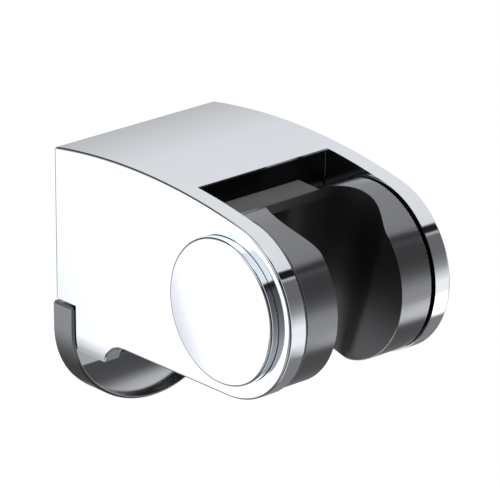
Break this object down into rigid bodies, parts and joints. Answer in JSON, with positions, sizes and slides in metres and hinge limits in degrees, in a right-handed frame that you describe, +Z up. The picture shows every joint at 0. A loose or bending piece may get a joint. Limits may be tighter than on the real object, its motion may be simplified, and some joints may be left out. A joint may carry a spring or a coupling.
{
  "type": "shower wall bracket",
  "caption": "Wall bracket with a rounded chrome housing and a dark turning holder whose slotted conical seat takes a hand shower at a chosen tilt.",
  "frame": {"origin": "on the wall plane, midway between the two wall screws' holes", "axes": "+Z up, -Y out of the wall to the front, X left to right along the holder's pivot"},
  "size_m": [0.052, 0.0764, 0.0643],
  "materials": {
    "chrome_plating": "bright chrome plating on a moulded plastic body",
    "dark_plastic": "glossy dark grey moulding",
    "nylon": "plain bearing plastic",
    "steel": "plain stainless steel",
    "spring_steel": "hardened spring steel",
    "brass": "turned brass"
  },
  "bodies": {
    "bracket": {"housing": "chrome_plating", "wall_plate": "dark_plastic", "inner_cover": "dark_plastic", "left_bush": "nylon", "left_cap": "chrome_plating", "right_bush": "nylon", "right_cap": "chrome_plating", "lock_screw": "steel", "lock_nut": "steel", "cover_screws": "steel"},
    "holder": {"holder": "dark_plastic", "left_insert": "brass", "left_friction_ring": "nylon", "left_washer": "steel", "left_disc_spring": "spring_steel", "left_pivot_screw": "steel", "right_insert": "brass", "right_friction_ring": "nylon", "right_washer": "steel", "right_disc_spring": "spring_steel", "right_pivot_screw": "steel"}
  },
  "joints": [
    {"name": "holder_tilt", "type": "hinge", "parent": "bracket", "child": "holder", "pos_m": [0, -0.0568, 0.0025], "axis": [1, 0, 0], "range_deg": [-19, 30]}
  ]
}
